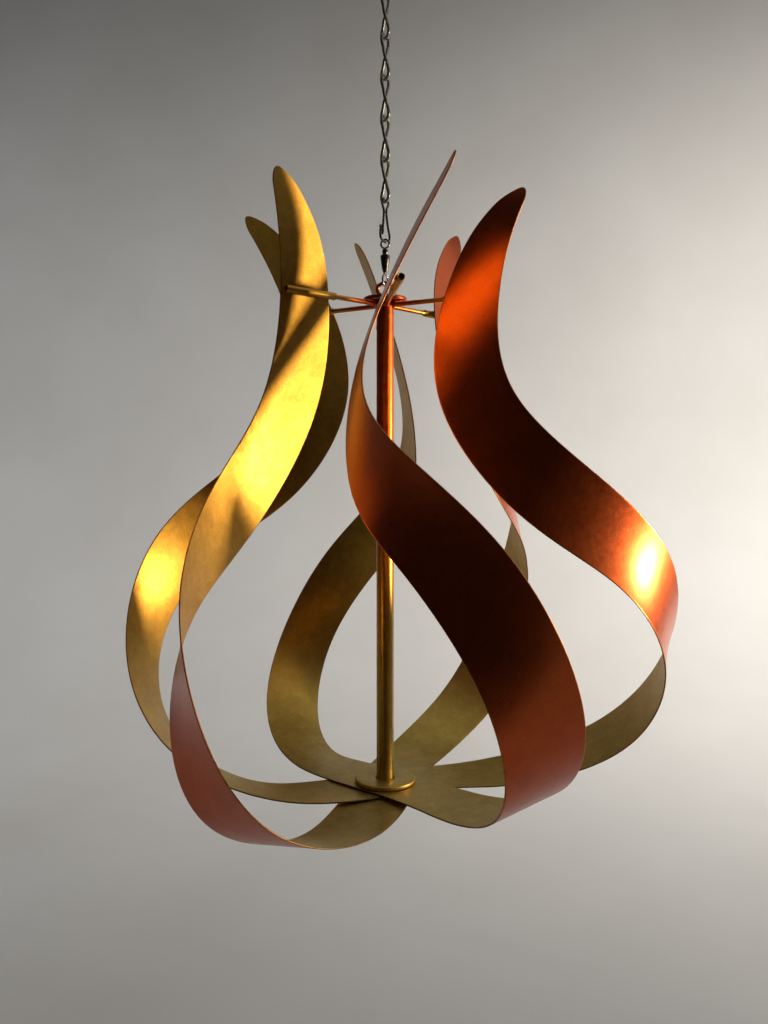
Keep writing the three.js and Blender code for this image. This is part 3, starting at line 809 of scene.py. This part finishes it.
def make_spoke_set(number):
    sleeve_node, spoke_node = f"sleeve_{number}", f"spoke_{number}"
    direction, start, end = radial_span(sleeve_node, SLEEVE["diameter"])
    height = (low(sleeve_node).z + high(sleeve_node).z) / 2
    place = Matrix.Translation((0, 0, height)) @ Matrix.Rotation(direction, 4, "Z") \
        @ Matrix.Rotation(math.pi / 2, 4, "Y")
    outer, bore = SLEEVE["diameter"] / 2, SLEEVE["bore"] / 2

    sleeve = Build()
    wall = [(bore, end), (outer, end), (outer, start), (bore, start)]
    sleeve.turned(filleted(wall, 0.2, 3), 40, place)
    sleeve.make(f"sleeve_tube_{number}", "rotor", [GOLD], [sleeve_node], sharp=50)

    _, spoke_start, spoke_end = radial_span(spoke_node, SPOKE_DIAMETER)
    half = SPOKE_DIAMETER / 2
    spoke = Build()
    rows = [spoke_start + (spoke_end - spoke_start) * i / 12 for i in range(13)]
    spoke.turned([(0, spoke_end)] + [(half, r) for r in reversed(rows)] + [(0, spoke_start)], 32, place)
    weld_foot, weld_top = spoke_start - 0.2, spoke_start + 1.6
    weld = [(half - 0.3, weld_top), (half - 0.3, weld_foot),
            (half + 1.1, weld_foot), (half + 0.1, weld_top)]
    spoke.turned(filleted(weld, 0.3, 3), 24, place)
    spoke.make(f"spoke_rod_{number}", "rotor", [SPOKE_FADE], [spoke_node], sharp=50)

    along = Vector((math.cos(direction), math.sin(direction), 0))
    toward_sheet = Vector((math.sin(direction), -math.cos(direction), 0))
    welds = Build()
    for side in (-1, 1):
        line = toward_sheet * (outer - 0.25) + Vector((0, 0, height + side * 1.5))
        for first, last in ((start + 6, start + 14), (end - 12, end - 3)):
            bead(welds, along * first + line, along * last + line, 0.75, number * 10 + side + first)
    welds.make(f"weld_beads_{number}", "rotor", [GOLD])


make_hook()
for link_index in range(1, LINK["count"] + 1):
    make_link(link_index)
make_snap()
make_swivel()
make_rotor_eye()
make_disc("hub_plate", "hub_disc", HUB_HOLE, COPPER, 0.9)
make_disc("base_plate", "base_disc", BASE_HOLE, GOLD, 1.1)
make_tube()
make_base_hardware()
for strip_name, strip_layer, strip_blades in STRIPS:
    make_strip(strip_name, strip_layer, strip_blades)
for blade_number in range(1, len(BLADES) + 1):
    make_spoke_set(blade_number)
for hidden_node, hidden_material in (("tube_plug", COPPER), ("tube_insert", ZINC)):
    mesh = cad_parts[hidden_node].data
    mesh.materials.clear()
    mesh.materials.append(hidden_material)


# ---- Floor, light and surroundings -----------------------------------------------------------
FLOOR_DROP = 0.55   # from the rotor's lowest point to the floor
FLOOR_FRONT = -1.2  # the floor ends here, so that the front of the rotor mirrors the dim room
WALL = 2.6          # how far behind the rotor the floor has swept up into a wall
SWEEP = 1.1         # radius of the sweep between them
SWEEP_STEPS = 24
HALF_WIDTH = 9.0
WALL_HEIGHT = 3.2   # above the top of the sweep
ROTOR_MIDDLE = (0, 0, -0.40)


def make_backdrop():
    """A pale studio sweep: floor, curve and wall in one sheet."""
    floor_z = cad_box[0][2] - FLOOR_DROP
    outline = [(FLOOR_FRONT, floor_z), (WALL - SWEEP, floor_z)]
    for step in range(1, SWEEP_STEPS + 1):
        a = math.pi / 2 * step / SWEEP_STEPS
        outline.append((WALL - SWEEP + SWEEP * math.sin(a), floor_z + SWEEP * (1 - math.cos(a))))
    outline.append((WALL, floor_z + SWEEP + WALL_HEIGHT))
    points = [(x, y, z) for y, z in outline for x in (-HALF_WIDTH, HALF_WIDTH)]
    faces = [(2 * i, 2 * i + 1, 2 * i + 3, 2 * i + 2) for i in range(len(outline) - 1)]
    mesh = bpy.data.meshes.new("backdrop")
    mesh.from_pydata(points, [], faces)
    mesh.shade_smooth()
    shader = Shader("backdrop_pale", metallic=0.0, roughness=0.85)
    shader.colour(shader.ramp(shader.noise(2.2, 3), [
        (0.3, (0.66, 0.65, 0.635)), (0.7, (0.71, 0.705, 0.695))]))
    mesh.materials.append(shader.material)
    backdrop = bpy.data.objects.new("backdrop", mesh)
    bpy.context.scene.collection.objects.link(backdrop)


def area_light(name, place, target, size, power, colour, spread):
    """A rectangular soft light at place, facing target."""
    data = bpy.data.lights.new(name, "AREA")
    data.shape = "RECTANGLE"
    data.size, data.size_y = size
    data.energy = power
    data.color = colour
    data.spread = math.radians(spread)
    light = bpy.data.objects.new(name, data)
    light.location = place
    light.rotation_euler = (Vector(place) - Vector(target)).to_track_quat("Z", "Y").to_euler()
    bpy.context.scene.collection.objects.link(light)


def round_the_object(azimuth, elevation, distance):
    """A place given by its direction from the rotor's middle (azimuth 0 is +X) and distance."""
    a, e = math.radians(azimuth), math.radians(elevation)
    return (distance * math.cos(a) * math.cos(e), distance * math.sin(a) * math.cos(e),
            ROTOR_MIDDLE[2] + distance * math.sin(e))


def surroundings():
    """A dim room, with its light coming from behind, above and to the right. The camera itself
    sees an even grey."""
    world = bpy.data.worlds.new("surroundings")
    bpy.context.scene.world = world
    world.use_nodes = True
    nodes, links = world.node_tree.nodes, world.node_tree.links
    background = nodes["Background"]
    direction = nodes.new("ShaderNodeTexCoord")
    facing = nodes.new("ShaderNodeVectorMath")
    facing.operation = "DOT_PRODUCT"
    facing.inputs[1].default_value = (0.55, 0.60, 0.58)
    links.new(direction.outputs["Generated"], facing.inputs[0])
    shift = nodes.new("ShaderNodeMapRange")
    shift.inputs["From Min"].default_value = -1
    links.new(facing.outputs["Value"], shift.inputs["Value"])
    ramp = nodes.new("ShaderNodeValToRGB")
    links.new(shift.outputs["Result"], ramp.inputs["Fac"])
    stops = [(0.0, (0.012, 0.011, 0.011)), (0.46, (0.019, 0.018, 0.018)), (0.70, (0.20, 0.20, 0.20)),
             (0.92, (0.70, 0.69, 0.66))]
    while len(ramp.color_ramp.elements) < len(stops):
        ramp.color_ramp.elements.new(0.5)
    for element, (position, colour) in zip(ramp.color_ramp.elements, stops):
        element.position = position
        element.color = (*colour, 1)
    links.new(ramp.outputs["Color"], background.inputs["Color"])
    seen = nodes.new("ShaderNodeBackground")
    seen.inputs["Color"].default_value = (0.38, 0.376, 0.368, 1)
    rays = nodes.new("ShaderNodeLightPath")
    choose = nodes.new("ShaderNodeMixShader")
    links.new(rays.outputs["Is Camera Ray"], choose.inputs["Fac"])
    links.new(background.outputs["Background"], choose.inputs[1])
    links.new(seen.outputs["Background"], choose.inputs[2])
    links.new(choose.outputs["Shader"], nodes["World Output"].inputs["Surface"])


make_backdrop()
# A warm key from the right, level with the rotor, and two washes on the wall behind it.
area_light("key", round_the_object(azimuth=-3, elevation=0, distance=2.4), ROTOR_MIDDLE,
           size=(0.18, 0.18), power=2.0, colour=(1.0, 0.78, 0.50), spread=30)
area_light("wash_right", (3.0, 0.2, 0.9), (1.1, WALL, -0.9),
           size=(1.6, 2.4), power=38, colour=(1.0, 0.94, 0.86), spread=84)
area_light("wash_left", (-2.8, 0.3, 0.9), (-0.9, WALL, -0.6),
           size=(1.4, 2.0), power=6, colour=(0.94, 0.97, 1.0), spread=84)
surroundings()
bpy.context.scene.view_settings.view_transform = "Standard"
